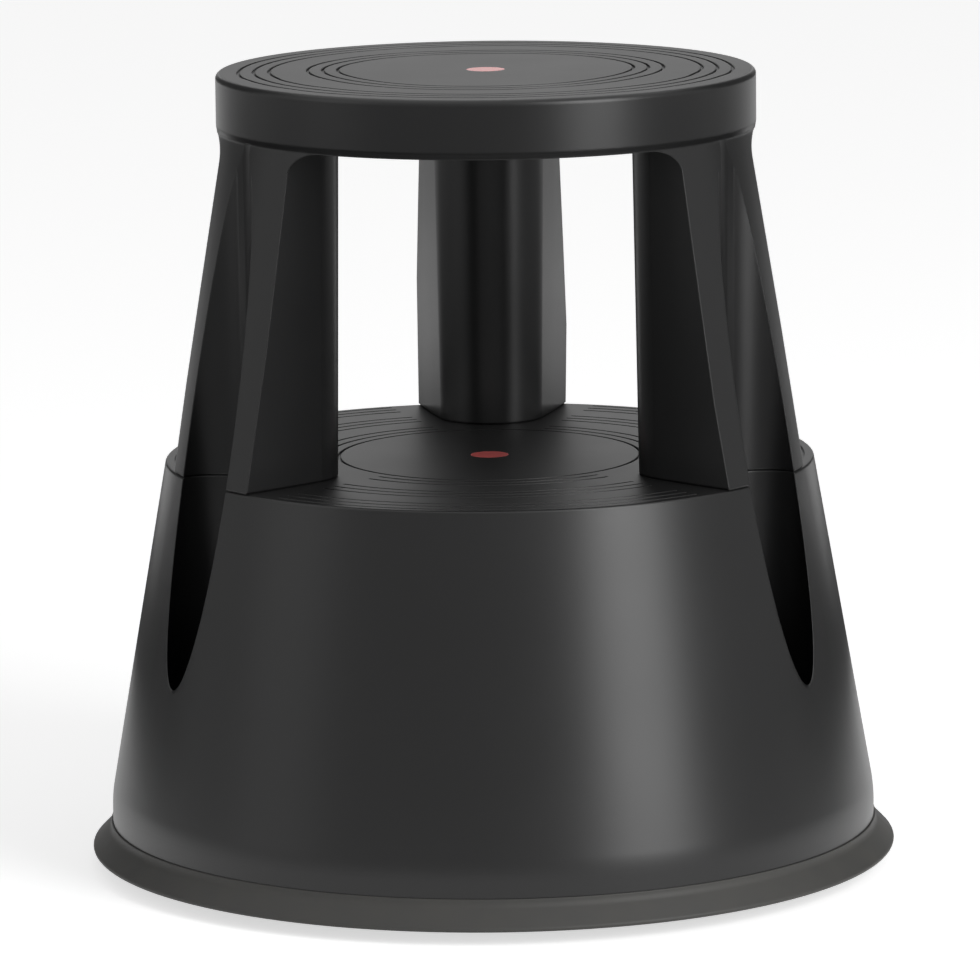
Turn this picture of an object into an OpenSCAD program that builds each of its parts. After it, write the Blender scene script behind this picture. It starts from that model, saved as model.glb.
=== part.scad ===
// Round step stool on three sprung castors: a conical drum whose top is the lower step,
// and a three-legged tower on it that carries the top step.
// Millimetres, +Z up. The origin is on the floor, on the stool's axis. The front is -Y.

/* [Steps] */
// Height of the top step above the floor, standing on the castors
stool_h = 430; // [415:1:445]
// Height of the lower step above the floor
step_h = 220.5; // [212:0.5:230]
// Diameter of the top step
top_d = 290; // [286:1:296]
// Diameter of the neck under the top step's band
neck_d = 289; // [285:0.5:290]
// Diameter of the lower step at its rim
step_d = 350.5; // [344:0.5:356]
// Diameter of the drum at its foot
base_d = 415; // [408:1:420]
// Height of the top step's upright band
band_h = 27; // [22:1:30]
// Height of the soft turn from the band into the neck
neck_turn_h = 8; // [4:1:12]
// Radius of the hollow curve from the neck into the cone
neck_blend_r = 32; // [20:1:50]
// Rounding of the top step's edge
top_edge_r = 3; // [1:0.5:4]
// Rounding of the lower step's rim
rim_edge_r = 1.5; // [0.5:0.5:3]

/* [Walls] */
// Wall of both mouldings
wall = 4; // [3:0.5:5]
// Thickness of the top step's plate
top_t = 4.5; // [3.5:0.5:6]
// Thickness of the lower step's plate
deck_t = 4.5; // [3.5:0.5:6]
// Thickness of the stiffening ribs
rib_t = 2.5; // [2:0.5:3.5]
// Radii of the round ribs under the top step
top_ribs = [48, 92];
// Radii of the round ribs under the lower step
deck_ribs = [60, 105];
// Depth of the ribs under the top step
top_rib_h = 15; // [10:1:20]
// Depth of the ribs under the lower step
deck_rib_h = 26; // [18:1:34]
// Number of spokes of ribs under each step
rib_spokes = 12; // [6:6:12]

/* [Legs] */
// Radius of each leg's round inner side
nose_r = 29.5; // [27:0.5:32]
// Distance of that round side's centre from the stool's axis
nose_at = 126.5; // [122:0.5:130]
// Radius of the slow curve of each flank
flank_r = 600; // [400:10:900]
// Angle at which the flank leaves the round side
flank_a = 17; // [15:0.5:19]
// Radius of the flute cut down each leg and the drum
flute_r = 25.1; // [23:0.1:26]
// Distance of the flute's centre from the stool's axis
flute_at = 169.3; // [168:0.1:171]
// Height of the flute's floor in the drum
flute_floor_z = 106; // [102:1:109]
// Radius of the windows' upper corners
window_corner_r = 16; // [12:1:24]
// Height and depth of the shadow gap at the legs' feet
foot_gap = 0.8; // [0.4:0.1:1.5]
// Height of the raised edge of the lower step that each leg's foot fits round
register_h = 5; // [3:0.5:7]

/* [Grip grooves] */
// Radii of the grooves round the top step
top_grooves = [80, 88, 96, 116, 124, 132];
// Radii of the grooves round the lower step that the legs interrupt
deck_grooves = [89, 97, 117.5, 125.5, 133.5, 153.5, 161.5, 169.5];
// Radius of the lower step's unbroken groove
full_groove = 81.5; // [78:0.5:85]
// Width of a groove
groove_w = 1.7; // [1:0.1:2.5]
// Depth of a groove
groove_t = 1.3; // [0.5:0.1:2]
// Half angle of the plain wedge in front of each leg
plain_a = 20; // [16:1:22]

/* [Plugs] */
// Diameter of a plug's disc
plug_d = 20.5; // [16:0.5:26]
// Thickness of a plug's disc
plug_t = 1.6; // [1:0.2:2.4]
// Diameter of a plug's stem
plug_stem_d = 12; // [8:0.5:14]

/* [Bumper ring] */
// How far the ring stands out from the drum
ring_w = 11; // [9:0.5:13]
// Height of the ring's underside above the floor
ring_z = 7.5; // [5:0.5:8]
// Thickness of the ring under the drum's foot
sole_t = 4; // [3:0.5:5]
// Thickness of the ring's upright lip
lip_t = 1; // [0.8:0.1:1.5]
// Height of the lip over the ring's flare
lip_h = 1.2; // [0.8:0.2:3]
// Rounding of the ring's outer edge
toe_r = 1.5; // [1:0.5:3]
// Radius of the hollow curve from the flare into the lip
flare_r = 5; // [3:0.5:8]
// Width of the ring's inner lip
ring_inner_w = 4; // [3:0.5:6]
// Height of the inner lip over the drum's foot
ring_inner_h = 5; // [3:0.5:8]
// Height at which the drum's skirt turns upright
skirt_z = 31; // [27:1:35]
// Radius of the turn from the drum's cone into its skirt
skirt_r = 72; // [50:1:100]

/* [Leg screws] */
// Distance of the leg screws from the stool's axis
screw_at = 120; // [116:1:122]
// Half the distance between a leg's two screws
screw_off = 13; // [11:0.5:14]
// Shank diameter of a leg screw
screw_d = 3.3; // [2.9:0.1:4.2]
// Length of a leg screw under its head
screw_l = 28; // [20:1:35]

/* [Castors] */
// Distance of each castor's pin in from the drum's foot
castor_in = 57.5; // [54:0.5:61]
// Direction that each castor trails in, from the stool's radius
castor_turn = 180; // [90:5:270]
// Diameter of the tyre
tyre_d = 34; // [30:1:36]
// Width of the tyre
tyre_w = 12; // [9:1:14]
// Thickness of the tyre
tyre_t = 4; // [3:0.5:5]
// Distance from the pin to the axle
trail = 12; // [9:1:14]
// Diameter of the axle
axle_d = 6; // [5:0.5:7]
// Thickness of the fork's steel
fork_t = 2.5; // [2:0.5:3]
// Diameter of the castor pin
pin_d = 11; // [9:0.5:12]
// Diameter of the pin where the fork turns on it
journal_d = 8; // [6:0.5:8]
// Diameter of the pin's collar
collar_d = 22; // [19:0.5:22.5]
// Thickness of the thrust washer
washer_t = 0.8; // [0.6:0.1:1.2]
// Upward travel of the castor
travel = 8; // [6:0.5:9]
// Length of the spring as fitted
spring_l = 28; // [26:1:30]
// Wire diameter of the spring
wire_d = 2; // [1.6:0.1:2.2]
// Mean diameter of the spring
spring_d = 16.6; // [16:0.2:18]
// Length of the guide bush
bush_l = 30; // [24:1:36]
// Wall of the guide bush
bush_wall = 2.45; // [2:0.05:3]
// Bore of the socket round the spring
socket_d = 24; // [23.5:0.5:26]

/* [Hidden] */

$fn = 144;
SMALL_FN = 48;
ARC_STEPS = 10;
OVER = 1;                 // how far a cutter runs past the face that it cuts
GAP = 0.3;                // clearance between parts that pass or rest on each other
FIT = 0.05;               // radial clearance of pins, sleeves and pressed parts

LEG_AZ = [90, 210, 330];
WINDOW_AZ = [30, 150, 270];
FRONT = 270;
RIGHT = 30;
LEFT = 150;

top_r = top_d / 2;
neck_r = neck_d / 2;
step_r = step_d / 2;
base_r = base_d / 2;
ring_r = base_r + ring_w;
castor_at = base_r - castor_in;

// The band, the neck and the tower's cone
band_z = stool_h - band_h;
neck_z = band_z - neck_turn_h;
neck_dx = neck_r + neck_blend_r - step_r;
neck_dz = neck_z - step_h;
cone_a = asin(neck_blend_r / norm([neck_dx, neck_dz])) - atan(neck_dx / neck_dz);
window_z = band_z - neck_turn_h / 2;
flute_top_z = window_z + OVER;

// The drum's foot, the lean of its cone and the ring's outline round it
foot_z = ring_z + sole_t;
skirt_dx = step_r + skirt_r - base_r;
skirt_dz = step_h - skirt_z;
drum_a = asin(skirt_r / norm([skirt_dx, skirt_dz])) - atan(skirt_dx / skirt_dz);
lip_r = base_r + lip_t;
flare_z = ring_r + ring_z + sqrt(2) * (toe_r + flare_r) - lip_r - flare_r;
ring_lip_z = flare_z + lip_h;

// Each flank's circle, whose centre lies across the leg from it
flank_cx = nose_at + (flank_r - nose_r) * sin(flank_a);
flank_cy = (flank_r - nose_r) * cos(flank_a);

// The castor's heights, from the floor up
tyre_r = tyre_d / 2;
hub_w = tyre_w + 2;
fork_in = hub_w / 2 + 0.4;
fork_out = fork_in + fork_t;
fork_lap = 8;               // how far the fork's plate reaches past its pin and its axle
eye_wall = 3.5;
waist_z = tyre_d - 2;
race_r = fork_out + 3;
rivet_z = tyre_d + 1;
rivet_t = 2.7;
rivet_r = 6.5;
fork_z = rivet_z + rivet_t + GAP;
washer_z = fork_z + fork_t + GAP;
collar_z = washer_z + washer_t + GAP;
collar_t = 2.5;
spring_z = collar_z + collar_t;
flange_z = spring_z + spring_l;
flange_t = 1.5;
bush_z = flange_z + flange_t;
bush_top_z = bush_z + bush_l;
bush_d = pin_d + 2 * (FIT + bush_wall);
flange_d = socket_d - 2;
snap_t = 1.5;
snap_d = pin_d + 3;
snap_groove_t = 0.8;
snap_z = bush_top_z + GAP;
pin_top_z = snap_z + snap_t + 4;
socket_wall = 4;
socket_r = socket_d / 2 + socket_wall;
socket_z = collar_z + travel + GAP;
socket_top_z = pin_top_z + travel + 4;

// Ribs and screws under the lower step
deck_z = step_h - deck_t;
plate_z = stool_h - top_t;
web_t = 3;
web_foot = 8;               // how far the webs start above the socket's mouth
web_rise = 30;              // how far the cross web starts above the other one
web_wing = 34;              // half the cross web's width under the step
wedge_at = 3.5;             // where the sides of the plain wedges meet, from the axis
plug_end = 3;               // how far a plug's stem reaches past its plate
head_t = 3;
head_d = 8;
boss_d = 11;
boss_h = screw_l + 4;

function arc(cx, cy, r, from, to) =
    [for (i = [0 : ARC_STEPS]) let (a = from + (to - from) * i / ARC_STEPS)
        [cx + r * cos(a), cy + r * sin(a)]];

// Radius of the tower's cone at a height, and of the drum's
function tower_cone(z) = step_r - (z - step_h) * tan(cone_a);
function drum_cone(z) = step_r + (step_h - z) * tan(drum_a);

// Where a leg's flank meets a circle round the axis: [along the leg, across it]
function leg_corner(r) =
    let (d = norm([flank_cx, flank_cy]),
         k = (r * r + d * d - flank_r * flank_r) / (2 * d),
         h = sqrt(r * r - k * k))
    [(k * flank_cx + h * flank_cy) / d, (h * flank_cx - k * flank_cy) / d];

// Half the width of a window where its edge lies on a circle round the axis
function window_half(r) =
    let (corner = leg_corner(r)) corner[0] * sin(60) - corner[1] * cos(60);

function soft_turn(t) = (1 - cos(180 * t)) / 2;

// Outline of the tower from axis to skin, drawn in by an inset and cut off below a height
function tower_outline(inset, low_z) = concat(
    [[0, low_z], [tower_cone(low_z) - inset, low_z]],
    [for (p = arc(neck_r + neck_blend_r, neck_z, neck_blend_r, 180 + cone_a, 180))
        [p[0] - inset, p[1]]],
    [for (i = [1 : ARC_STEPS]) let (t = i / ARC_STEPS)
        [neck_r + (top_r - neck_r) * soft_turn(t) - inset, neck_z + neck_turn_h * t]],
    arc(top_r - top_edge_r - inset, stool_h - top_edge_r - inset, top_edge_r, 0, 90),
    [[0, stool_h - inset]]);

// Outline of the drum from axis to skin, drawn in by an inset
function drum_outline(inset) = concat(
    [[0, foot_z], [base_r - inset, foot_z]],
    [for (p = arc(base_r - skirt_r, skirt_z, skirt_r, 0, drum_a)) [p[0] - inset, p[1]]],
    arc(drum_cone(step_h - rim_edge_r) - rim_edge_r - inset, step_h - rim_edge_r,
        rim_edge_r, 0, 90),
    [[0, step_h]]);

module tower_body(inset, low_z) {
    rotate_extrude() polygon(tower_outline(inset, low_z));
}

module groove(r, z) {
    translate([0, 0, z - groove_t]) difference() {
        cylinder(r = r + groove_w / 2, h = groove_t + OVER);
        translate([0, 0, -OVER]) cylinder(r = r - groove_w / 2, h = groove_t + 3 * OVER);
    }
}

module plug_hole(z, plate_t) {
    translate([0, 0, z - plug_t]) cylinder(d = plug_d + 2 * FIT, h = plug_t + OVER, $fn = SMALL_FN);
    translate([0, 0, z - plate_t - OVER])
        cylinder(d = plug_stem_d + 2 * FIT, h = plate_t + OVER, $fn = SMALL_FN);
}

// Plan of a leg pointing along +X, drawn in by an inset
module leg_plan(inset) {
    from_x = nose_at - (nose_r - inset) * sin(flank_a);
    translate([nose_at, 0]) circle(r = nose_r - inset);
    intersection() {
        translate([flank_cx, flank_cy]) circle(r = flank_r - inset);
        translate([flank_cx, -flank_cy]) circle(r = flank_r - inset);
        translate([from_x, -step_r / 2]) square([step_r, step_r]);
    }
}

module leg_prism(inset, from, to) {
    translate([0, 0, from]) linear_extrude(to - from) leg_plan(inset);
}

module flute(grow, from, to) {
    translate([flute_at, 0, from]) cylinder(r = flute_r + grow, h = to - from);
}

// The hollow inside a leg, open at the foot
module leg_hollow() {
    difference() {
        intersection() {
            leg_prism(wall, step_h - OVER, plate_z);
            tower_body(wall, step_h - 2 * OVER);
        }
        flute(wall, step_h - 3 * OVER, stool_h);
    }
}

// What is cut from round a leg's foot to leave the shadow gap
module foot_gap_cut() {
    translate([0, 0, step_h - OVER]) difference() {
        cylinder(r = step_r + OVER, h = foot_gap + OVER);
        for (az = LEG_AZ) rotate(az) difference() {
            intersection() {
                leg_prism(foot_gap, -OVER, 3 * OVER);
                translate([0, 0, -2 * OVER]) cylinder(r = step_r - foot_gap, h = 6 * OVER);
            }
            flute(foot_gap, -3 * OVER, 6 * OVER);
        }
    }
}

module leg_bosses() {
    for (side = [-1, 1]) translate([screw_at, side * screw_off, step_h]) difference() {
        cylinder(d = boss_d, h = boss_h, $fn = SMALL_FN);
        translate([0, 0, -OVER]) cylinder(d = screw_d + 2 * FIT, h = screw_l, $fn = SMALL_FN);
    }
}

// A rib from each screw boss to the leg's round side, clear of the raised edge in the leg
module boss_ribs() {
    from_z = step_h + register_h + 2 * GAP;
    tie = norm([screw_off, screw_at - nose_at]);
    from_r = tie + (boss_d - OVER) / 2;
    for (side = [-1, 1]) translate([nose_at, 0, from_z])
        rotate(atan2(side * screw_off, screw_at - nose_at)) translate([from_r, -rib_t / 2, 0])
            cube([nose_r - wall / 2 - from_r, rib_t, step_h + boss_h - GAP - from_z]);
}

// The side and top of a window, seen from outside: across the window, then up
module window_face() {
    top_half = window_half(tower_cone(window_z)) + FIT;
    low_half = window_half(step_r) + FIT;
    lean = (low_half - top_half) / (window_z - step_h);
    lean_a = atan(lean);
    corner_x = top_half + lean * window_corner_r - window_corner_r / cos(lean_a);
    corner = arc(corner_x, window_z - window_corner_r, window_corner_r, lean_a, 90);
    foot_half = low_half + lean * OVER;
    polygon(concat([[foot_half, step_h - OVER]], corner,
        [for (i = [ARC_STEPS : -1 : 0]) [-corner[i][0], corner[i][1]]], [[-foot_half, step_h - OVER]]));
}

// The space between the legs and under the top step, with the three windows
module open_space() {
    difference() {
        union() {
            intersection() {
                tower_body(wall, step_h - OVER);
                cylinder(r = step_r, h = plate_z);
            }
            for (az = WINDOW_AZ) rotate([90, 0, az + 90]) linear_extrude(step_d) window_face();
        }
        for (az = LEG_AZ) rotate(az) leg_prism(0, step_h - 2 * OVER, stool_h);
    }
}

module spokes(r_in, r_out, z_top, depth) {
    for (i = [0 : rib_spokes - 1])
        rotate(WINDOW_AZ[0] + i * 360 / rib_spokes)
            translate([r_in, -rib_t / 2, z_top - depth]) cube([r_out - r_in, rib_t, depth + OVER]);
}

module ring_rib(r, z_top, depth) {
    translate([0, 0, z_top - depth]) difference() {
        cylinder(r = r + rib_t / 2, h = depth + OVER);
        translate([0, 0, -OVER]) cylinder(r = r - rib_t / 2, h = depth + 3 * OVER);
    }
}

module tower() {
    color([0.2, 0.2, 0.2]) difference() {
        union() {
            difference() {
                tower_body(0, step_h);
                open_space();
                for (az = LEG_AZ) rotate(az) leg_hollow();
            }
            difference() {
                union() {
                    spokes(plug_stem_d, top_r - wall / 2, plate_z, top_rib_h);
                    for (r = concat([plug_stem_d + rib_t / 2], top_ribs))
                        ring_rib(r, plate_z, top_rib_h);
                }
                for (az = LEG_AZ) rotate(az) leg_prism(wall / 2, step_h, stool_h);
            }
            for (az = LEG_AZ) rotate(az) {
                leg_bosses();
                boss_ribs();
            }
        }
        for (az = LEG_AZ) rotate(az) flute(0, step_h - OVER, flute_top_z);
        foot_gap_cut();
        for (r = top_grooves) groove(r, stool_h);
        plug_hole(stool_h, top_t);
    }
}

// Wedge in front of each leg where the lower step's grooves stop
module plain_wedges() {
    for (az = LEG_AZ) rotate(az) translate([0, 0, step_h - groove_t - OVER])
        linear_extrude(groove_t + 3 * OVER)
            polygon([[wedge_at, 0], [wedge_at + step_r, step_r * tan(plain_a)],
                [wedge_at + step_r, -step_r * tan(plain_a)]]);
}

// The raised edge inside a leg that keeps it in place
module leg_register() {
    difference() {
        translate([nose_at, 0, deck_z + OVER])
            cylinder(r = nose_r - wall - GAP, h = deck_t - OVER + register_h);
        translate([nose_at, 0, deck_z])
            cylinder(r = nose_r - wall - GAP - rib_t, h = deck_t + register_h + OVER);
        flute(wall + GAP, deck_z, step_h + register_h + 2 * OVER);
    }
}

// The webs that tie a castor socket to the ribs and to the drum's wall: one along the
// radius, and one across it
module castor_web() {
    low_z = socket_z + web_foot;
    wing_z = low_z + web_rise;
    hub_r = deck_ribs[0];
    rib_z = deck_z - deck_rib_h;
    rotate([90, 0, 0]) translate([0, 0, -web_t / 2]) linear_extrude(web_t)
        polygon([[hub_r, deck_z + OVER], [hub_r, rib_z],
            [castor_at - socket_r + OVER, low_z], [castor_at + socket_r - OVER, low_z],
            [drum_cone(low_z) - wall / 2, low_z], [drum_cone(deck_z) - wall / 2, deck_z + OVER]]);
    translate([castor_at - web_t / 2, 0, 0]) rotate([90, 0, 90]) linear_extrude(web_t)
        polygon([[-web_wing, deck_z + OVER], [-web_wing, rib_z], [-socket_r + OVER, wing_z],
            [socket_r - OVER, wing_z], [web_wing, rib_z], [web_wing, deck_z + OVER]]);
}

module socket_bore() {
    translate([castor_at, 0, 0]) {
        translate([0, 0, socket_z - OVER]) cylinder(d = socket_d, h = bush_z - socket_z + OVER);
        translate([0, 0, bush_z - OVER])
            cylinder(d = bush_d + 2 * FIT, h = bush_l + OVER, $fn = SMALL_FN);
        translate([0, 0, bush_top_z - OVER])
            cylinder(d = bush_d - 1, h = pin_top_z + travel + GAP - bush_top_z + OVER, $fn = SMALL_FN);
    }
}

module drum() {
    color([0.2, 0.2, 0.2]) difference() {
        union() {
            difference() {
                rotate_extrude() polygon(drum_outline(0));
                intersection() {
                    rotate_extrude() polygon(drum_outline(wall));
                    translate([0, 0, foot_z - OVER]) cylinder(r = base_r, h = deck_z - foot_z + OVER);
                }
                translate([0, 0, foot_z - OVER]) cylinder(r = base_r - wall, h = 2 * OVER);
            }
            intersection() {
                rotate_extrude() polygon(drum_outline(wall / 2));
                union() {
                    for (az = LEG_AZ) rotate(az)
                        flute(wall, flute_floor_z - wall, step_h - OVER);
                    spokes(plug_stem_d, step_r, deck_z, deck_rib_h);
                    for (r = concat([plug_stem_d + rib_t / 2], deck_ribs))
                        ring_rib(r, deck_z, deck_rib_h);
                    for (az = WINDOW_AZ) rotate(az) {
                        castor_web();
                        translate([castor_at, 0, socket_z])
                            cylinder(r = socket_r, h = socket_top_z - socket_z);
                    }
                }
            }
            for (az = LEG_AZ) rotate(az) leg_register();
        }
        for (az = LEG_AZ) rotate(az) {
            flute(0, flute_floor_z, step_h + register_h + 2 * OVER);
            for (side = [-1, 1]) translate([screw_at, side * screw_off, deck_z - OVER])
                cylinder(d = screw_d + 2 * GAP, h = deck_t + 2 * OVER, $fn = SMALL_FN);
        }
        for (az = WINDOW_AZ) rotate(az) socket_bore();
        groove(full_groove, step_h);
        difference() {
            union() {
                for (r = deck_grooves) groove(r, step_h);
            }
            plain_wedges();
        }
        plug_hole(step_h, deck_t);
    }
}

// The ring: a toe, a flare at 45 degrees that eases into an upright lip, and a channel
// round the drum's foot
module bumper_ring() {
    foot_r = base_r + FIT;
    hook_r = base_r - wall - FIT;
    hook_z = foot_z + ring_inner_h;
    inner_r = hook_r - ring_inner_w;
    bevel = 1;
    lip_edge_r = 0.4;
    color([0.25, 0.25, 0.24]) rotate_extrude() polygon(concat(
        [[inner_r, ring_z + bevel], [inner_r + bevel, ring_z]],
        arc(ring_r - toe_r, ring_z + toe_r, toe_r, -90, 45),
        arc(lip_r + flare_r, flare_z, flare_r, 225, 180),
        arc(lip_r - lip_edge_r, ring_lip_z - lip_edge_r, lip_edge_r, 0, 90),
        [[foot_r, ring_lip_z], [foot_r, foot_z - FIT], [hook_r, foot_z - FIT],
            [hook_r, hook_z], [inner_r + bevel, hook_z], [inner_r, hook_z - bevel]]));
}

module plug(z, plate_t) {
    color([0.8, 0.27, 0.27]) translate([0, 0, z]) {
        translate([0, 0, -plug_t]) cylinder(d = plug_d, h = plug_t, $fn = SMALL_FN);
        translate([0, 0, -plate_t - plug_end])
            cylinder(d = plug_stem_d, h = plate_t + plug_end - plug_t / 2, $fn = SMALL_FN);
    }
}

module top_plug() {
    plug(stool_h, top_t);
}

module step_plug() {
    plug(step_h, deck_t);
}

module leg_screws() {
    color([0.7, 0.7, 0.72])
        for (az = LEG_AZ) rotate(az)
            for (side = [-1, 1]) translate([screw_at, side * screw_off, deck_z]) {
                cylinder(d = screw_d, h = screw_l, $fn = SMALL_FN);
                rotate_extrude($fn = SMALL_FN)
                    polygon(concat([[0, 0], [head_d / 2, 0]],
                        arc(head_d / 2 - head_t / 2, -head_t / 2, head_t / 2, 0, -90), [[0, -head_t]]));
            }
}

// Places a part of a castor, drawn with its pin on the Z axis and trailing along +X
module at_castor(az) {
    rotate(az) translate([castor_at, 0, 0]) rotate(castor_turn) children();
}

module guide_bush(az) {
    color([0.85, 0.83, 0.76]) at_castor(az) difference() {
        union() {
            translate([0, 0, bush_z]) cylinder(d = bush_d, h = bush_l, $fn = SMALL_FN);
            translate([0, 0, flange_z]) cylinder(d = flange_d, h = flange_t, $fn = SMALL_FN);
        }
        translate([0, 0, flange_z - OVER])
            cylinder(d = pin_d + 2 * FIT, h = flange_t + bush_l + 2 * OVER, $fn = SMALL_FN);
    }
}

module castor_pin(az) {
    groove_r = pin_d / 2 - snap_groove_t;
    tip = 1.5;
    edge = 1;
    color([0.75, 0.75, 0.77]) at_castor(az) rotate_extrude($fn = SMALL_FN) polygon([
        [0, rivet_z], [rivet_r - edge, rivet_z], [rivet_r, rivet_z + edge], [rivet_r, rivet_z + rivet_t],
        [journal_d / 2, rivet_z + rivet_t], [journal_d / 2, collar_z],
        [collar_d / 2, collar_z], [collar_d / 2, spring_z], [pin_d / 2, spring_z],
        [pin_d / 2, snap_z], [groove_r, snap_z], [groove_r, snap_z + snap_t],
        [pin_d / 2, snap_z + snap_t], [pin_d / 2, pin_top_z - tip],
        [pin_d / 2 - tip, pin_top_z], [0, pin_top_z]]);
}

module snap_ring(az) {
    slot_w = 2.5;
    color([0.55, 0.55, 0.58]) at_castor(az) translate([0, 0, snap_z]) difference() {
        cylinder(d = snap_d, h = snap_t, $fn = SMALL_FN);
        translate([0, 0, -OVER])
            cylinder(d = pin_d - 2 * (snap_groove_t - FIT), h = snap_t + 2 * OVER, $fn = SMALL_FN);
        translate([0, -slot_w / 2, -OVER]) cube([snap_d, slot_w, snap_t + 2 * OVER]);
    }
}

module thrust_washer(az) {
    color([0.92, 0.9, 0.82]) at_castor(az) translate([0, 0, washer_z]) difference() {
        cylinder(d = collar_d - 2, h = washer_t, $fn = SMALL_FN);
        translate([0, 0, -OVER])
            cylinder(d = journal_d + 2 * FIT, h = washer_t + 2 * OVER, $fn = SMALL_FN);
    }
}

// Height of the spring's wire after some turns: the first and last turn lie flat
SPRING_TURNS = 7;
SPRING_STEPS = 16;
SPRING_SIDES = 6;
function wire_rise(turn) =
    let (flat = wire_d * 1.05, low = spring_z + wire_d / 2 + 0.1,
         high = flange_z - wire_d / 2 - 0.1, body = SPRING_TURNS - 2)
    turn < 1 ? low + flat * turn
    : turn > SPRING_TURNS - 1 ? high - flat * (SPRING_TURNS - turn)
    : low + flat + (high - low - 2 * flat) * (turn - 1) / body;

module spring(az) {
    rings = SPRING_TURNS * SPRING_STEPS;
    points = [for (i = [0 : rings]) for (j = [0 : SPRING_SIDES - 1])
        let (turn = i / SPRING_STEPS, round_a = 360 * turn, side_a = 360 * j / SPRING_SIDES,
             r = spring_d / 2 + wire_d / 2 * cos(side_a))
        [r * cos(round_a), r * sin(round_a), wire_rise(turn) + wire_d / 2 * sin(side_a)]];
    walls = [for (i = [0 : rings - 1]) for (j = [0 : SPRING_SIDES - 1])
        let (k = (j + 1) % SPRING_SIDES, a = i * SPRING_SIDES, b = a + SPRING_SIDES)
        [a + j, b + j, b + k, a + k]];
    ends = [[for (j = [0 : SPRING_SIDES - 1]) j],
        [for (j = [SPRING_SIDES - 1 : -1 : 0]) rings * SPRING_SIDES + j]];
    color([0.6, 0.6, 0.62]) at_castor(az) polyhedron(points, concat(walls, ends));
}

// One cheek of the fork, seen from the side: along the trail, then up
module fork_cheek() {
    eye_r = axle_d / 2 + eye_wall;
    top_z = fork_z + fork_t;
    polygon([[-fork_lap, top_z], [-fork_lap, waist_z], [trail - eye_r, tyre_r], [trail + eye_r, tyre_r],
        [trail + fork_lap, waist_z], [trail + fork_lap, top_z]]);
    translate([trail, tyre_r]) circle(r = eye_r);
}

module fork(az) {
    color([0.72, 0.72, 0.74]) at_castor(az) difference() {
        union() {
            translate([0, 0, fork_z]) cylinder(r = race_r, h = fork_t);
            translate([-fork_lap, -fork_out, fork_z])
                cube([trail + 2 * fork_lap, 2 * fork_out, fork_t]);
            for (y = [-fork_in, fork_out]) translate([0, y, 0])
                rotate([90, 0, 0]) linear_extrude(fork_t) fork_cheek();
        }
        translate([0, 0, fork_z - OVER])
            cylinder(d = journal_d + 2 * FIT, h = fork_t + 2 * OVER, $fn = SMALL_FN);
        translate([trail, fork_out + OVER, tyre_r]) rotate([90, 0, 0])
            cylinder(d = axle_d + 2 * FIT, h = 2 * (fork_out + OVER), $fn = SMALL_FN);
    }
}

module axle(az) {
    cap_t = 1.5;
    cap_d = axle_d + eye_wall;
    color([0.75, 0.75, 0.77]) at_castor(az) translate([trail, 0, tyre_r]) rotate([90, 0, 0]) {
        translate([0, 0, -fork_out - FIT])
            cylinder(d = axle_d, h = 2 * (fork_out + FIT), $fn = SMALL_FN);
        for (z = [-fork_out - FIT - cap_t, fork_out + FIT]) translate([0, 0, z])
            cylinder(d = cap_d, h = cap_t, $fn = SMALL_FN);
    }
}

module wheel(az) {
    rim_r = tyre_r - tyre_t - FIT;
    boss_r = axle_d / 2 + 3;
    web_w = tyre_w / 3;
    bore_r = axle_d / 2 + FIT;
    rim_t = 2;
    color([0.16, 0.16, 0.17]) at_castor(az) translate([trail, 0, tyre_r]) rotate([90, 0, 0])
        rotate_extrude($fn = SMALL_FN * 2) polygon([
            [bore_r, -hub_w / 2], [boss_r, -hub_w / 2], [boss_r, -web_w / 2], [rim_r - rim_t, -web_w / 2],
            [rim_r - rim_t, -tyre_w / 2], [rim_r, -tyre_w / 2], [rim_r, tyre_w / 2],
            [rim_r - rim_t, tyre_w / 2], [rim_r - rim_t, web_w / 2], [boss_r, web_w / 2],
            [boss_r, hub_w / 2], [bore_r, hub_w / 2]]);
}

module tyre(az) {
    edge_r = 2;
    color([0.35, 0.35, 0.36]) at_castor(az) translate([trail, 0, tyre_r]) rotate([90, 0, 0])
        rotate_extrude($fn = SMALL_FN * 2) polygon(concat([[tyre_r - tyre_t, -tyre_w / 2]],
            arc(tyre_r - edge_r, -tyre_w / 2 + edge_r, edge_r, -90, 0),
            arc(tyre_r - edge_r, tyre_w / 2 - edge_r, edge_r, 0, 90),
            [[tyre_r - tyre_t, tyre_w / 2]]));
}

tower();
drum();
bumper_ring();
top_plug();
step_plug();
leg_screws();
guide_bush(FRONT);  // guide_bush_front
guide_bush(RIGHT);  // guide_bush_right
guide_bush(LEFT);  // guide_bush_left
castor_pin(FRONT);  // castor_pin_front
castor_pin(RIGHT);  // castor_pin_right
castor_pin(LEFT);  // castor_pin_left
snap_ring(FRONT);  // snap_ring_front
snap_ring(RIGHT);  // snap_ring_right
snap_ring(LEFT);  // snap_ring_left
thrust_washer(FRONT);  // thrust_washer_front
thrust_washer(RIGHT);  // thrust_washer_right
thrust_washer(LEFT);  // thrust_washer_left
spring(FRONT);  // spring_front
spring(RIGHT);  // spring_right
spring(LEFT);  // spring_left
fork(FRONT);  // fork_front
fork(RIGHT);  // fork_right
fork(LEFT);  // fork_left
axle(FRONT);  // axle_front
axle(RIGHT);  // axle_right
axle(LEFT);  // axle_left
wheel(FRONT);  // wheel_front
wheel(RIGHT);  // wheel_right
wheel(LEFT);  // wheel_left
tyre(FRONT);  // tyre_front
tyre(RIGHT);  // tyre_right
tyre(LEFT);  // tyre_left
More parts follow.
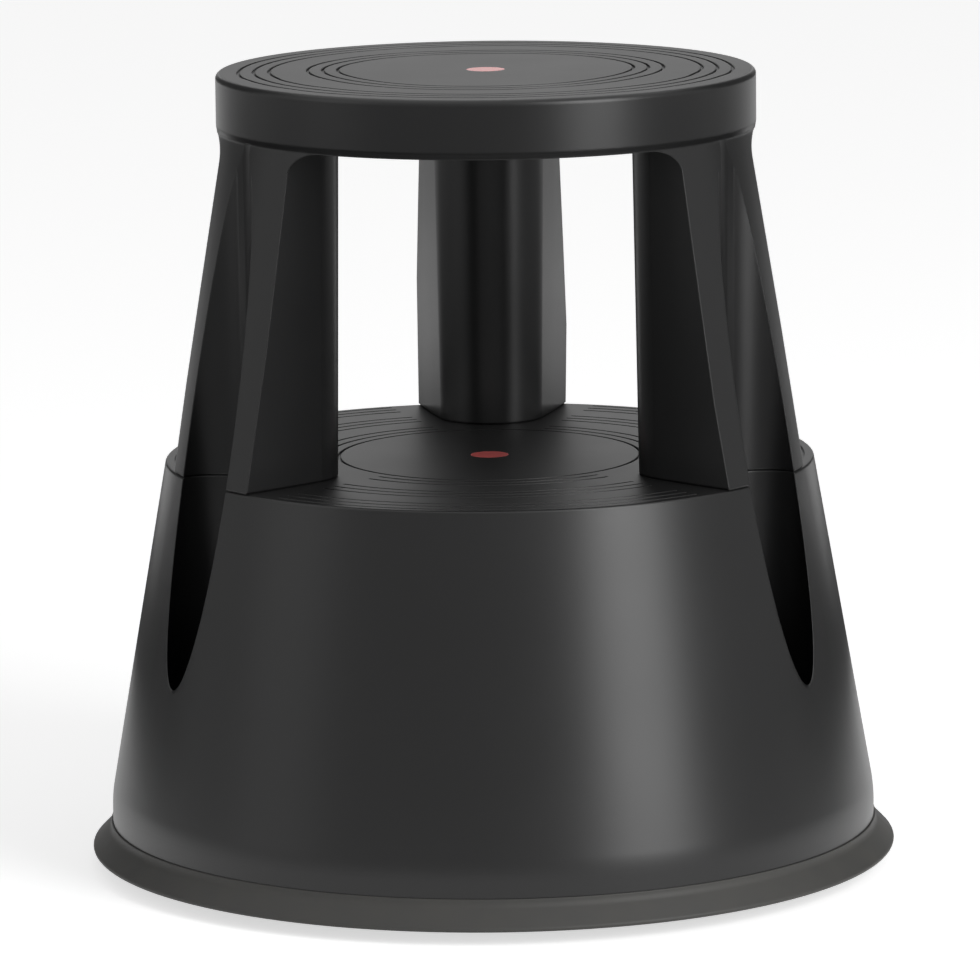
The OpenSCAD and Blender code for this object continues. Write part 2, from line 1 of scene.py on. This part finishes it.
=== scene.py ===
# %% [markdown]
# # A round step stool on sprung castors
# The stool is two satin black mouldings, a rubber ring round the foot and three small castors
# that sink into the drum under a person's weight. Its structure comes from the CAD frame, where
# every piece is already at its real size. This script dresses that frame: it gives each piece
# its finish and models what a CAD solid shows too plainly, such as the tower's skin, the coiled
# springs and the rounded edges of the pressed steel forks, the axles and the wheels.

# %% Load the frame
import math

import bmesh
import bpy
from mathutils import Matrix, Vector


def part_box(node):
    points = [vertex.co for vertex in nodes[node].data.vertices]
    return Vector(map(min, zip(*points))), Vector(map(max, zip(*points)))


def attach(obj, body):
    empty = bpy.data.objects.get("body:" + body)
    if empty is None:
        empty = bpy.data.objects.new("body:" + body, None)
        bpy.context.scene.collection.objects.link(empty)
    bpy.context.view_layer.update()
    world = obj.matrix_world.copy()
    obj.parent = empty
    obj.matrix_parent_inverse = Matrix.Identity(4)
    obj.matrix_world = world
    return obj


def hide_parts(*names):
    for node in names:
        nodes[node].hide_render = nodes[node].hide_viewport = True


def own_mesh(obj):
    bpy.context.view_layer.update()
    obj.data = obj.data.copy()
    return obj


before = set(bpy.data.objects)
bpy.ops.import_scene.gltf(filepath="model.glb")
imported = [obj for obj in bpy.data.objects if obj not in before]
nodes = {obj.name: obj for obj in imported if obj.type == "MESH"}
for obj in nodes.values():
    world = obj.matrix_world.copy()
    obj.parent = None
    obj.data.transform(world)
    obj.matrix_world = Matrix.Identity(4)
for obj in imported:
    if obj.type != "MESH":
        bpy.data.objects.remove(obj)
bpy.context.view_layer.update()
MM = 0.001
CASTORS = ("front", "right", "left")

# %% [markdown]
# ## The camera
# A long lens three and a half metres away looks down on the stool a little, so that both treads
# show as slim ellipses. Read from the last factor to the first, the camera is rolled a little
# about its own line of sight, pitched, moved back from the stool and then turned round its axis.

# %% Camera
CAMERA_DISTANCE = 3.5914
CAMERA_HEIGHT = 0.8328
CAMERA_TURN = math.radians(0.6)
CAMERA_PITCH = math.radians(9.979)
CAMERA_ROLL = math.radians(-0.613)
CAMERA_LENS = 247.135

camera_data = bpy.data.cameras.new("camera")
camera_data.sensor_width = 36
camera_data.lens = CAMERA_LENS
camera = bpy.data.objects.new("camera", camera_data)
bpy.context.scene.collection.objects.link(camera)
camera.matrix_world = (
    Matrix.Rotation(CAMERA_TURN, 4, "Z")
    @ Matrix.Translation((0, -CAMERA_DISTANCE, CAMERA_HEIGHT))
    @ Matrix.Rotation(math.pi / 2 - CAMERA_PITCH, 4, "X")
    @ Matrix.Rotation(CAMERA_ROLL, 4, "Z")
)
bpy.context.scene.camera = camera
bpy.context.scene.view_settings.view_transform = "Standard"
print(f"camera {CAMERA_DISTANCE:.2f} m in front of the stool's axis")

# %% [markdown]
# ## Small helpers for materials
# Every finish starts from one Principled shader. The helpers below make a material, add a node
# and link two sockets, so that each finish further down reads as a short recipe.

# %% Material helpers
EDGE_SAMPLES = 6


def new_material(name):
    """A material with one Principled shader, returned with its node tree and shader."""
    material = bpy.data.materials.new(name)
    material.use_nodes = True
    tree = material.node_tree
    return material, tree, tree.nodes["Principled BSDF"]


def add_node(tree, kind, **settings):
    """Add a node and set its properties."""
    node = tree.nodes.new(kind)
    for key, value in settings.items():
        setattr(node, key, value)
    return node


def noise(tree, scale, detail=3.0):
    """Noise on Object coordinates, with scale in features per metre."""
    place = add_node(tree, "ShaderNodeTexCoord")
    texture = add_node(tree, "ShaderNodeTexNoise")
    texture.inputs["Scale"].default_value = scale
    texture.inputs["Detail"].default_value = detail
    tree.links.new(place.outputs["Object"], texture.inputs["Vector"])
    return texture.outputs["Fac"]


def spread(tree, factor, low, high):
    """Map a factor of 0 to 1 onto the range low to high."""
    node = add_node(tree, "ShaderNodeMapRange")
    node.inputs["To Min"].default_value = low
    node.inputs["To Max"].default_value = high
    tree.links.new(factor, node.inputs["Value"])
    return node.outputs["Result"]


def tint(tree, factor, low, high):
    """Blend two colours by a factor."""
    ramp = add_node(tree, "ShaderNodeValToRGB")
    ramp.color_ramp.elements[0].color = (*low, 1)
    ramp.color_ramp.elements[1].color = (*high, 1)
    tree.links.new(factor, ramp.inputs["Fac"])
    return ramp.outputs["Color"]


def soft_edges(tree, radius):
    """A normal that rounds every sharp edge by a small radius, as a mould does."""
    node = add_node(tree, "ShaderNodeBevel", samples=EDGE_SAMPLES)
    node.inputs["Radius"].default_value = radius
    return node.outputs["Normal"]


def grain(tree, height, depth, normal):
    """Bump from a height, on top of another normal."""
    node = add_node(tree, "ShaderNodeBump")
    node.inputs["Distance"].default_value = depth
    tree.links.new(height, node.inputs["Height"])
    tree.links.new(normal, node.inputs["Normal"])
    return node.outputs["Normal"]


def dress(node_name, finish):
    """Give a CAD node its finish."""
    nodes[node_name].data.materials.clear()
    nodes[node_name].data.materials.append(finish)


# %% [markdown]
# ## The black mouldings
# The drum and the tower are injection moulded. Their skin is satin: a very dark plastic whose
# broad, soft highlight does most of the showing. A fine grain breaks the reflection a little,
# a slower noise keeps the roughness from being the same everywhere, and the treads, which face
# up, are rougher for a foot's grip.

# %% Satin black plastic
GRAIN_PER_M = 1400
GRAIN_DEPTH = 0.02 * MM
CLOUD_PER_M = 14
BLACK_LOW = (0.0040, 0.0040, 0.0042)
BLACK_HIGH = (0.0058, 0.0058, 0.0060)
BLACK_ROUGH = (0.30, 0.36)
MOULD_EDGE = 1.0 * MM
# A normal faces up from this cosine on, and straight up the skin is rougher by this much
FACES_UP = 0.92
TREAD_ROUGHER = 0.13

satin_black, tree, shader = new_material("satin_black_plastic")
clouds = noise(tree, CLOUD_PER_M, detail=4)
tree.links.new(tint(tree, clouds, BLACK_LOW, BLACK_HIGH), shader.inputs["Base Color"])
upward = add_node(tree, "ShaderNodeSeparateXYZ")
tree.links.new(add_node(tree, "ShaderNodeTexCoord").outputs["Normal"], upward.inputs[0])
tread = add_node(tree, "ShaderNodeMapRange", interpolation_type="SMOOTHSTEP")
tread.inputs["From Min"].default_value = FACES_UP
tread.inputs["To Max"].default_value = TREAD_ROUGHER
tree.links.new(upward.outputs["Z"], tread.inputs["Value"])
rougher = add_node(tree, "ShaderNodeMath", operation="ADD")
tree.links.new(spread(tree, clouds, *BLACK_ROUGH), rougher.inputs[0])
tree.links.new(tread.outputs["Result"], rougher.inputs[1])
tree.links.new(rougher.outputs[0], shader.inputs["Roughness"])
rounded = soft_edges(tree, MOULD_EDGE)
grained = grain(tree, noise(tree, GRAIN_PER_M, detail=2), GRAIN_DEPTH, rounded)
tree.links.new(grained, shader.inputs["Normal"])
for name in ("tower", "drum"):
    dress(name, satin_black)
print("satin black on the tower and the drum")

# %% [markdown]
# ## The tower's outer form
# The tower's finished skin differs from its solid by a few millimetres: the cone runs straight
# up into the band, each leg is a little broader, and the flutes lie a little further out. The
# piece below takes the solid's own surface, moves each point to the finished form, and gives
# the cone exact normals again.

# %% The solid's sizes and the finished tower's
LEG_AZIMUTHS = (90, 210, 330)
STEP_Z, STEP_RIM_R = 0.2205, 0.17525
NECK_Z, NECK_R, NECK_CURVE_R = 0.395, 0.1445, 0.032
BAND_Z, BAND_R = 0.403, 0.145
CONE_TOP_Z, CONE_TOP_R = 0.399, 0.1445
NOSE_AT, NOSE_R = 0.1265, 0.0295
FLANK_CENTRE, FLANK_R = (0.2933, 0.54557), 0.6
FLUTE_AT, FLUTE_R, FLUTE_SHIFT = 0.1693, 0.0251, 0.00095

# How much a leg grows on each side, by the distance along the leg from the stool's axis
LEG_GROWTH = ((0.094, 0.0030), (0.1265, 0.0028), (0.1415, 0.0036), (0.170, 0.0023))
# The growth starts inside the leg's outline and fades out well outside it
GROWTH_IN, GROWTH_OUT = (-0.006, -0.001), (0.018, 0.060)
# On the outer wall it ends under the band, and the flute's shift ends a little lower
OUTER_WALL_R = 0.1385
GROWTH_TOP, FLUTE_TOP = (0.3993, 0.4020), (0.3975, 0.3995)
FLUTE_FADE = (0.001, 0.005)
# Points this close to the step, or this near the axis, stay where they are
FOOT_GAP, HUB_R = 0.0012, 0.05
# Where the cone's skin starts over the step and ends under the band, and how deep it is taken
SKIN_FOOT, SKIN_HEAD, SKIN_DEPTH = 0.001, 0.00001, 0.00024
# A normal looks out of the skin from this cosine on
LOOKS_OUT = 0.93
SLOPE_STEP = 0.0001


def ease(value, start, end):
    """0 at start, 1 at end and smooth between them."""
    t = min(1.0, max(0.0, (value - start) / (end - start)))
    return t * t * (3 - 2 * t)


def between(table, at):
    """A value read from a table of pairs by straight interpolation."""
    if at <= table[0][0]:
        return table[0][1]
    for (x0, y0), (x1, y1) in zip(table, table[1:]):
        if at <= x1:
            return y0 + (y1 - y0) * (at - x0) / (x1 - x0)
    return table[-1][1]


reach = NECK_R + NECK_CURVE_R - STEP_RIM_R
rise = NECK_Z - STEP_Z
cone_lean = math.asin(NECK_CURVE_R / math.hypot(reach, rise)) - math.atan2(reach, rise)
tangent_z = NECK_Z - NECK_CURVE_R * math.sin(cone_lean)
new_slope = (STEP_RIM_R - CONE_TOP_R) / (CONE_TOP_Z - STEP_Z)


def solid_radius(z):
    """Radius of the solid's skin at a height."""
    if z <= tangent_z:
        return STEP_RIM_R - (z - STEP_Z) * math.tan(cone_lean)
    if z <= NECK_Z:
        return NECK_R + NECK_CURVE_R - math.sqrt(NECK_CURVE_R**2 - (NECK_Z - z) ** 2)
    share = (1 - math.cos(math.pi * (z - NECK_Z) / (BAND_Z - NECK_Z))) / 2
    return NECK_R + (BAND_R - NECK_R) * share


def finished_radius(z):
    """Radius of the finished skin at a height."""
    if z <= CONE_TOP_Z:
        return STEP_RIM_R - (z - STEP_Z) * new_slope
    return CONE_TOP_R + (BAND_R - CONE_TOP_R) * ease(z, CONE_TOP_Z, BAND_Z)


def on_skin(point):
    """Whether a point lies on the cone's outside, between the shadow gap and the band."""
    if not STEP_Z + SKIN_FOOT < point.z < BAND_Z - SKIN_HEAD:
        return False
    return abs(math.hypot(point.x, point.y) - solid_radius(point.z)) < SKIN_DEPTH


def leg_outline(p):
    """How far a point lies outside a leg that points along +X, and which way is out."""
    if p.x < NOSE_AT:
        out = Vector((p.x - NOSE_AT, p.y, 0))
        return out.length - NOSE_R, out.normalized()
    half = math.sqrt(FLANK_R**2 - (p.x - FLANK_CENTRE[0]) ** 2) - FLANK_CENTRE[1]
    return abs(p.y) - half, Vector((0, 1 if p.y >= 0 else -1, 0))


def finished_point(point):
    """Where a point of the solid's surface lies on the finished tower."""
    azimuth = math.degrees(math.atan2(point.y, point.x)) % 360
    leg = min(LEG_AZIMUTHS, key=lambda a: abs((a - azimuth + 180) % 360 - 180))
    turn = Matrix.Rotation(math.radians(-leg), 3, "Z")
    p = turn @ point
    beyond, out = leg_outline(p)
    share = ease(beyond, *GROWTH_IN) * (1 - ease(beyond, *GROWTH_OUT))
    if math.hypot(p.x, p.y) > OUTER_WALL_R:
        share *= 1 - ease(p.z, *GROWTH_TOP)
    moved = p + out * between(LEG_GROWTH, p.x) * share
    from_flute = abs(math.hypot(p.x - FLUTE_AT, p.y) - FLUTE_R)
    flute_shift = FLUTE_SHIFT * (1 - ease(from_flute, *FLUTE_FADE))
    moved.x += flute_shift * (1 - ease(p.z, *FLUTE_TOP))
    if on_skin(point):
        scale = finished_radius(point.z) / math.hypot(moved.x, moved.y)
        moved.x *= scale
        moved.y *= scale
    return turn.transposed() @ moved


def finished_normal(point, normal):
    """The cone's own normal where the solid's normal looks out of the skin."""
    out = Vector((point.x, point.y, 0)).normalized()
    if not on_skin(point) or normal.dot(out) < LOOKS_OUT:
        return normal
    narrowing = finished_radius(point.z - SLOPE_STEP) - finished_radius(point.z + SLOPE_STEP)
    slope = narrowing / (2 * SLOPE_STEP)
    return Vector((out.x, out.y, slope)).normalized()


# %% Finished tower
solid_mesh = nodes["tower"].data
shell_mesh = solid_mesh.copy()
shell_mesh.name = "tower_shell"
solid_points = [vertex.co.copy() for vertex in solid_mesh.vertices]
corner_normals = [
    finished_normal(solid_points[loop.vertex_index], Vector(corner.vector))
    for loop, corner in zip(solid_mesh.loops, solid_mesh.corner_normals)
]
for vertex, point in zip(shell_mesh.vertices, solid_points):
    if point.z > STEP_Z + FOOT_GAP and math.hypot(point.x, point.y) > HUB_R:
        vertex.co = finished_point(point)
shell_mesh.normals_split_custom_set(corner_normals)
shell_mesh.materials.clear()
shell_mesh.materials.append(satin_black)
tower_shell = bpy.data.objects.new("tower_shell", shell_mesh)
bpy.context.scene.collection.objects.link(tower_shell)
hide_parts("tower")
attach(tower_shell, "stool")
print(f"tower skin moved, cone {math.degrees(math.atan(new_slope)):.2f} degrees")

# %% [markdown]
# ## The rubber ring
# The ring takes every knock against a door frame, so it is made of grey-black rubber. Rubber
# scatters light widely and holds some dust, which shows as a faint warm mottle.

# %% Grey-black rubber
MOTTLE_PER_M = 60
RUBBER_GRAIN_PER_M = 900
RUBBER_GRAIN_DEPTH = 0.03 * MM
RUBBER_EDGE = 0.6 * MM
RUBBER_LOW = (0.034, 0.034, 0.033)
RUBBER_HIGH = (0.052, 0.050, 0.045)
RUBBER_ROUGH = (0.52, 0.66)

ring_rubber, tree, shader = new_material("grey_black_rubber")
mottle = noise(tree, MOTTLE_PER_M, detail=6)
tree.links.new(tint(tree, mottle, RUBBER_LOW, RUBBER_HIGH), shader.inputs["Base Color"])
tree.links.new(spread(tree, mottle, *RUBBER_ROUGH), shader.inputs["Roughness"])
rounded = soft_edges(tree, RUBBER_EDGE)
grained = grain(tree, noise(tree, RUBBER_GRAIN_PER_M), RUBBER_GRAIN_DEPTH, rounded)
tree.links.new(grained, shader.inputs["Normal"])
dress("bumper_ring", ring_rubber)
print("rubber on the ring")

# %% [markdown]
# ## The red plugs
# A small gloss plug closes the moulding's gate in the middle of each tread.

# %% Red gloss plastic
FAINT_PER_M = 220
RED_LOW = (0.84, 0.150, 0.145)
RED_HIGH = (0.90, 0.170, 0.162)
RED_ROUGH = (0.20, 0.26)
PLUG_EDGE = 0.4 * MM

plug_red, tree, shader = new_material("red_gloss_plastic")
faint = noise(tree, FAINT_PER_M)
tree.links.new(tint(tree, faint, RED_LOW, RED_HIGH), shader.inputs["Base Color"])
tree.links.new(spread(tree, faint, *RED_ROUGH), shader.inputs["Roughness"])
tree.links.new(soft_edges(tree, PLUG_EDGE), shader.inputs["Normal"])
for name in ("top_plug", "step_plug"):
    dress(name, plug_red)
print("red on the two plugs")

# %% [markdown]
# ## Metals and nylons under the drum
# The castors are seen only from below. Their steel is zinc plated, with the faint clouding that
# plating has, the bushes and washers are cream nylon, the wheels are black nylon and the tyres
# grey rubber.

# %% Castor finishes
METAL_CLOUD_PER_M = 180
PLASTIC_CLOUD_PER_M = 120
PLASTIC_GRAIN_PER_M = 1500
PLASTIC_GRAIN_DEPTH = 0.01 * MM


def metal(name, dark, light, rough, edge):
    """A clouded metal whose colour and roughness lie between two ends."""
    material, tree, shader = new_material(name)
    shader.inputs["Metallic"].default_value = 1.0
    cloud = noise(tree, METAL_CLOUD_PER_M, detail=5)
    tree.links.new(tint(tree, cloud, dark, light), shader.inputs["Base Color"])
    tree.links.new(spread(tree, cloud, *rough), shader.inputs["Roughness"])
    tree.links.new(soft_edges(tree, edge), shader.inputs["Normal"])
    return material


def plain_plastic(name, dark, light, rough, edge):
    """A fine grained nylon or rubber whose colour and roughness lie between two ends."""
    material, tree, shader = new_material(name)
    cloud = noise(tree, PLASTIC_CLOUD_PER_M, detail=4)
    tree.links.new(tint(tree, cloud, dark, light), shader.inputs["Base Color"])
    tree.links.new(spread(tree, cloud, *rough), shader.inputs["Roughness"])
    fine_noise = noise(tree, PLASTIC_GRAIN_PER_M, detail=2)
    fine = grain(tree, fine_noise, PLASTIC_GRAIN_DEPTH, soft_edges(tree, edge))
    tree.links.new(fine, shader.inputs["Normal"])
    return material


zinc = metal(
    "zinc_plated_steel",
    dark=(0.50, 0.50, 0.51),
    light=(0.66, 0.66, 0.67),
    rough=(0.28, 0.40),
    edge=0.3 * MM,
)
spring_steel = metal(
    "oiled_spring_steel",
    dark=(0.32, 0.32, 0.34),
    light=(0.44, 0.44, 0.46),
    rough=(0.24, 0.36),
    edge=0.1 * MM,
)
cream_nylon = plain_plastic(
    "cream_nylon",
    dark=(0.62, 0.60, 0.52),
    light=(0.70, 0.68, 0.60),
    rough=(0.38, 0.46),
    edge=0.3 * MM,
)
black_nylon = plain_plastic(
    "black_nylon",
    dark=(0.020, 0.020, 0.021),
    light=(0.028, 0.028, 0.029),
    rough=(0.36, 0.46),
    edge=0.4 * MM,
)
tyre_rubber = plain_plastic(
    "grey_tyre_rubber",
    dark=(0.085, 0.085, 0.087),
    light=(0.115, 0.114, 0.112),
    rough=(0.55, 0.68),
    edge=0.4 * MM,
)

FINISHES = {
    "guide_bush": cream_nylon,
    "castor_pin": zinc,
    "snap_ring": zinc,
    "thrust_washer": cream_nylon,
    "spring": spring_steel,
    "fork": zinc,
    "axle": zinc,
    "wheel": black_nylon,
    "tyre": tyre_rubber,
}
for part, finish in FINISHES.items():
    for which in CASTORS:
        dress(f"{part}_{which}", finish)
dress("leg_screws", zinc)
print(f"{len(FINISHES)} kinds of castor piece finished")

# %% [markdown]
# ## Pieces under the drum
# A person who turns the stool over sees three sprung castors. Each coiled spring is drawn in its
# castor's own frame, with the pin on the Z axis and +X towards the stool's axis, and then placed
# by the pin's box in the CAD frame. The forks, axles and wheels keep the form of their solids and
# get really rounded edges.

# %% Helpers for castor pieces
SPRING_LOW, SPRING_HIGH = 44.4 * MM, 72.4 * MM
SPRING_R, WIRE_R = 8.3 * MM, 1.0 * MM
SPRING_TURNS = 7
SPRING_FLAT = 2.1 * MM
SPRING_END_GAP = 0.1 * MM


def castor_frame(which):
    """Matrix from a castor's own frame to the stool's."""
    low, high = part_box(f"castor_pin_{which}")
    pin = (low + high) / 2
    inward = Matrix.Rotation(math.atan2(-pin.y, -pin.x), 4, "Z")
    return Matrix.Translation((pin.x, pin.y, 0)) @ inward


def finished_piece(name, bm, finish, slot, body, *stands_for):
    """Turn a bmesh into a piece of the stool that rides on a body."""
    bmesh.ops.recalc_face_normals(bm, faces=bm.faces)
    mesh = bpy.data.meshes.new(name)
    bm.to_mesh(mesh)
    bm.free()
    mesh.shade_smooth()
    mesh.materials.append(finish)
    piece = bpy.data.objects.new(name, mesh)
    bpy.context.scene.collection.objects.link(piece)
    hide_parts(*stands_for)
    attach(piece, body)
    return piece


def wire_height(turn):
    """Height of the spring's wire after some turns. The end turns lie flat and are closed."""
    low = SPRING_LOW + WIRE_R + SPRING_END_GAP
    high = SPRING_HIGH - WIRE_R - SPRING_END_GAP
    if turn < 1:
        return low + SPRING_FLAT * turn
    if turn > SPRING_TURNS - 1:
        return high - SPRING_FLAT * (SPRING_TURNS - turn)
    return low + SPRING_FLAT + (high - low - 2 * SPRING_FLAT) * (turn - 1) / (SPRING_TURNS - 2)


# %% Coiled springs
STEPS_PER_TURN = 40
WIRE_SIDES = 12
WIRE_END_ANGLE = math.radians(50)

for which in CASTORS:
    bm = bmesh.new()
    rings = []
    for i in range(SPRING_TURNS * STEPS_PER_TURN + 1):
        turn = i / STEPS_PER_TURN
        angle = 2 * math.pi * turn
        ring = []
        for j in range(WIRE_SIDES):
            side = 2 * math.pi * j / WIRE_SIDES
            r = SPRING_R + WIRE_R * math.cos(side)
            z = wire_height(turn) + WIRE_R * math.sin(side)
            ring.append(bm.verts.new((r * math.cos(angle), r * math.sin(angle), z)))
        rings.append(ring)
    for near, far in zip(rings, rings[1:]):
        for j in range(WIRE_SIDES):
            k = (j + 1) % WIRE_SIDES
            bm.faces.new((near[j], far[j], far[k], near[k]))
    bm.faces.new(rings[0])
    bm.faces.new(reversed(rings[-1]))
    bm.transform(castor_frame(which))
    coil = finished_piece(
        f"coil_{which}", bm, spring_steel, "spring_steel", "stool", f"spring_{which}"
    )
    coil.data.set_sharp_from_angle(angle=WIRE_END_ANGLE)
    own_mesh(coil)
print(f"springs of {SPRING_TURNS} turns")

# %% Rounded steel and nylon
MERGE_DISTANCE = 0.001 * MM
FLAT_ANGLE = math.radians(0.5)
ROUNDED_ANGLE = math.radians(35)


def softened(node_name, new_name, finish, slot, body, width, segments=2):
    """A CAD node's surface with its edges really rounded, as a press or a mould leaves them."""
    bm = bmesh.new()
    bm.from_mesh(nodes[node_name].data)
    bmesh.ops.remove_doubles(bm, verts=bm.verts, dist=MERGE_DISTANCE)
    bmesh.ops.dissolve_limit(
        bm, angle_limit=FLAT_ANGLE, verts=bm.verts, edges=bm.edges, delimit=set()
    )
    piece = finished_piece(new_name, bm, finish, slot, body, node_name)
    bevel = piece.modifiers.new("rounding", "BEVEL")
    bevel.width = width
    bevel.segments = segments
    bevel.limit_method = "ANGLE"
    bevel.angle_limit = ROUNDED_ANGLE
    bevel.harden_normals = True
    bevel.use_clamp_overlap = True


FORK_EDGE, AXLE_EDGE, WHEEL_EDGE = 0.35 * MM, 0.5 * MM, 0.35 * MM

for which in CASTORS:
    swivel, roller = f"swivel_{which}", f"roller_{which}"
    fork, axle, wheel = f"fork_{which}", f"axle_{which}", f"wheel_{which}"
    softened(fork, f"pressed_{fork}", zinc, "steel", swivel, FORK_EDGE)
    softened(axle, f"riveted_{axle}", zinc, "steel", swivel, AXLE_EDGE, segments=3)
    softened(wheel, f"moulded_{wheel}", black_nylon, "wheel_nylon", roller, WHEEL_EDGE)
print("forks, axles and wheels rounded")

# %% [markdown]
# ## The studio
# The stool stands on a wide white floor in a white room. The floor takes lamp light and keeps
# the stool's shadow. On top of that it glows just enough, for the camera and for reflections,
# to reach the white of the room: Light Path tells the shader which kind of ray is asking, so
# this glow shows in reflections but gives no diffuse light.

# %% Which rays see the white room
def seen_ray(tree):
    """1 for a ray from the camera, a reflection or a refraction, and 0 for a ray that lights."""
    path = add_node(tree, "ShaderNodeLightPath")
    either = add_node(tree, "ShaderNodeMath", operation="MAXIMUM")
    tree.links.new(path.outputs["Is Camera Ray"], either.inputs[0])
    tree.links.new(path.outputs["Is Transmission Ray"], either.inputs[1])
    any_of_three = add_node(tree, "ShaderNodeMath", operation="MAXIMUM")
    tree.links.new(either.outputs[0], any_of_three.inputs[0])
    tree.links.new(path.outputs["Is Glossy Ray"], any_of_three.inputs[1])
    return any_of_three.outputs[0]


# %% Floor
FLOOR_R = 40.0
FLOOR_WHITE = 0.82
FLOOR_GLOW = 0.62

floor_paint, tree, shader = new_material("white_floor")
shader.inputs["Base Color"].default_value = (FLOOR_WHITE, FLOOR_WHITE, FLOOR_WHITE, 1)
shader.inputs["Roughness"].default_value = 0.9
shader.inputs["Specular IOR Level"].default_value = 0.0
shader.inputs["Emission Color"].default_value = (1, 1, 1, 1)
tree.links.new(spread(tree, seen_ray(tree), 0.0, FLOOR_GLOW), shader.inputs["Emission Strength"])


def stage_piece(name, bm, material):
    """Turn a bmesh into an object that is part of the studio, not of the stool."""
    mesh = bpy.data.meshes.new(name)
    bm.to_mesh(mesh)
    bm.free()
    mesh.materials.append(material)
    piece = bpy.data.objects.new(name, mesh)
    bpy.context.scene.collection.objects.link(piece)
    return piece


bm = bmesh.new()
bmesh.ops.create_circle(bm, cap_ends=True, radius=FLOOR_R, segments=96)
stage_piece("floor", bm, floor_paint)
print(f"floor {2 * FLOOR_R:.0f} m wide")

# %% Room
ROOM_LIGHT = 0.35
ROOM_WHITE = 1.0

world = bpy.data.worlds.new("room")
bpy.context.scene.world = world
world.use_nodes = True
tree = world.node_tree
background = tree.nodes["Background"]
background.inputs["Color"].default_value = (1, 1, 1, 1)
room_strength = spread(tree, seen_ray(tree), ROOM_LIGHT, ROOM_WHITE)
tree.links.new(room_strength, background.inputs["Strength"])
print(f"room light {ROOM_LIGHT}")

# %% [markdown]
# ## Cards that only reflections see
# Black plastic shows little but what it mirrors. A ring of black cloth on the floor keeps the
# stool's walls black. Cards stand round it: a grey one in front, a dark one on each side and a
# pale one behind, with a low white strip nearer the stool on each side for narrow highlights.
# None of them throws a shadow, gives diffuse light or shows to the camera.

# %% Cloth and cards
CLOTH_FROM = 0.7
CLOTH_TO = 2.9
CLOTH_Z = MM
CLOTH_STEPS = 72
CARD_R = 6.0
CARD_H = 6.0
FRONT_HALF_TURN = 112
SIDE_END = 166
CARD_STEP = 5
FEWEST_STEPS = 6
CARD_GREY = 0.60
CARD_DARK = 0.11
CARD_BACK = 0.9
STRIP_R = 1.6
STRIP_H = 0.13
STRIP_FROM = 143
STRIP_TO = 157
STRIP_WHITE = 1.3


def mirrored_only(piece):
    """Leave a stage piece visible to reflections alone."""
    piece.visible_camera = False
    piece.visible_diffuse = False
    piece.visible_transmission = False
    piece.visible_shadow = False


def card_paint(name, brightness):
    """A matt card that shows one even brightness, whatever the lamps do."""
    paint, _, shader = new_material(name)
    shader.inputs["Base Color"].default_value = (0, 0, 0, 1)
    shader.inputs["Specular IOR Level"].default_value = 0.0
    shader.inputs["Emission Color"].default_value = (1, 1, 1, 1)
    shader.inputs["Emission Strength"].default_value = brightness
    return paint


def curved_card(name, radius, height, start, end, paint):
    """An upright card that follows a circle round the stool. Azimuth 0 is the front."""
    bm = bmesh.new()
    foot = bm.verts.new((0, -radius, 0))
    head = bm.verts.new((0, -radius, height))
    edge = bm.edges.new((foot, head))
    turn = Matrix.Rotation(math.radians(start), 3, "Z")
    bmesh.ops.rotate(bm, verts=bm.verts, cent=(0, 0, 0), matrix=turn)
    angle = math.radians(end - start)
    steps = max(FEWEST_STEPS, round(abs(end - start) / CARD_STEP))
    bmesh.ops.spin(bm, geom=[edge], cent=(0, 0, 0), axis=(0, 0, 1), angle=angle, steps=steps)
    mirrored_only(stage_piece(name, bm, paint))


bm = bmesh.new()
near = bm.verts.new((0, -CLOTH_FROM, CLOTH_Z))
far = bm.verts.new((0, -CLOTH_TO, CLOTH_Z))
hem = bm.edges.new((near, far))
bmesh.ops.spin(
    bm, geom=[hem], cent=(0, 0, 0), axis=(0, 0, 1), angle=2 * math.pi, steps=CLOTH_STEPS
)
mirrored_only(stage_piece("cloth", bm, card_paint("black_cloth", 0.0)))

front_paint = card_paint("grey_card", CARD_GREY)
back_paint = card_paint("pale_card", CARD_BACK)
dark_paint = card_paint("dark_card", CARD_DARK)
strip_paint = card_paint("white_strip", STRIP_WHITE)
curved_card("front_card", CARD_R, CARD_H, -FRONT_HALF_TURN, FRONT_HALF_TURN, front_paint)
curved_card("back_card", CARD_R, CARD_H, SIDE_END, 360 - SIDE_END, back_paint)
for side, name in ((1, "right"), (-1, "left")):
    start, end = side * FRONT_HALF_TURN, side * SIDE_END
    curved_card(f"{name}_card", CARD_R, CARD_H, start, end, dark_paint)
    start, end = side * STRIP_FROM, side * STRIP_TO
    curved_card(f"{name}_strip", STRIP_R, STRIP_H, start, end, strip_paint)
print("cloth, four cards and two strips round the stool")

# %% Lamps
LAMP_AIM = Vector((0, 0, 0.25))


def softbox(name, azimuth, elevation, distance, width, height, radiance):
    """A rectangular area lamp, placed by its direction from the stool. Azimuth 0 is the front."""
    a, e = math.radians(azimuth), math.radians(elevation)
    away = Vector((math.sin(a) * math.cos(e), -math.cos(a) * math.cos(e), math.sin(e)))
    data = bpy.data.lights.new(name, "AREA")
    data.shape = "RECTANGLE"
    data.size, data.size_y = width, height
    data.energy = radiance * math.pi * width * height
    lamp = bpy.data.objects.new(name, data)
    bpy.context.scene.collection.objects.link(lamp)
    lamp.location = LAMP_AIM + away * distance
    lamp.rotation_euler = away.to_track_quat("Z", "Y").to_euler()


softbox("key", azimuth=47, elevation=22, distance=3.0, width=1.4, height=2.6, radiance=5.7)
softbox("fill", azimuth=-67, elevation=20, distance=3.0, width=1.5, height=2.4, radiance=0.5)
print("two softboxes lit")
